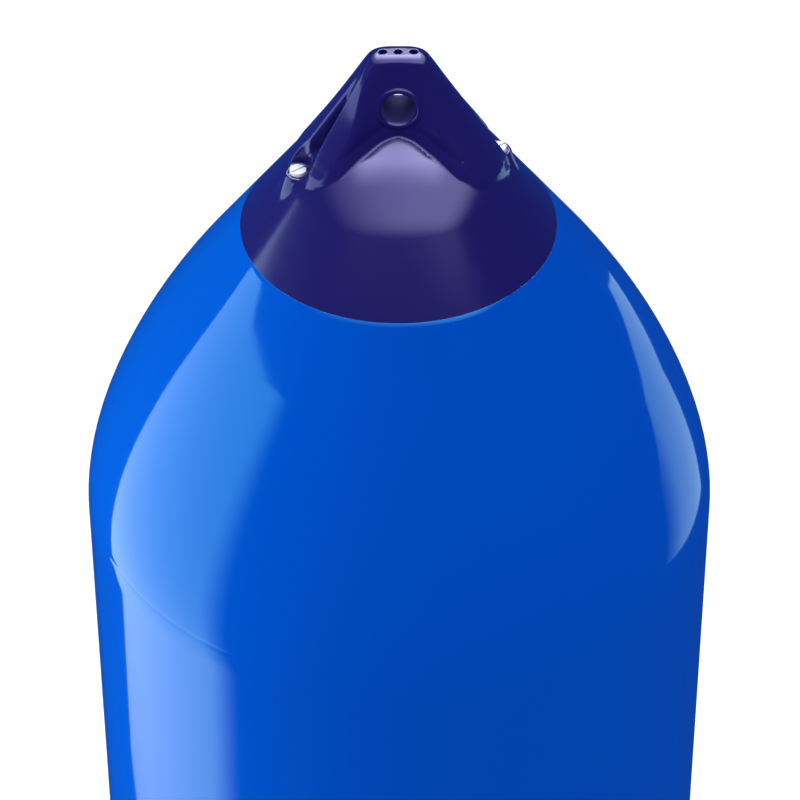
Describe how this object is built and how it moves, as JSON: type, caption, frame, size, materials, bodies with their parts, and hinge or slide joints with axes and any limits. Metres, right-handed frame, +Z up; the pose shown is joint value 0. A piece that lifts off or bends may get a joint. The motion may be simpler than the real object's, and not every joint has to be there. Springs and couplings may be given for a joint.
{
  "type": "boat fender",
  "caption": "Large inflatable boat fender: a blue vinyl body with a navy rope cap at each end, its rope eye through a ribbed wall and white valve screws beside the top eye.",
  "frame": {"origin": "centre of the top rope eye", "axes": "+Z up along the fender's length, towards the tip of the top cap; Y along the rope eyes; X across them; the picture looks along +Y"},
  "size_m": [0.5, 0.5, 1.27],
  "materials": {
    "vinyl_blue": "glossy inflated vinyl",
    "vinyl_navy": "satin moulded vinyl",
    "white_nylon": "plain moulded nylon",
    "black_rubber": "plain"
  },
  "bodies": {
    "root": {"fender_body": "vinyl_blue", "top_rope_cap": "vinyl_navy", "bottom_rope_cap": "vinyl_navy", "valve_housing_left": "white_nylon", "valve_seal_left": "black_rubber", "valve_screw_left": "white_nylon", "valve_housing_right": "white_nylon", "valve_seal_right": "black_rubber", "valve_screw_right": "white_nylon"}
  },
  "joints": []
}
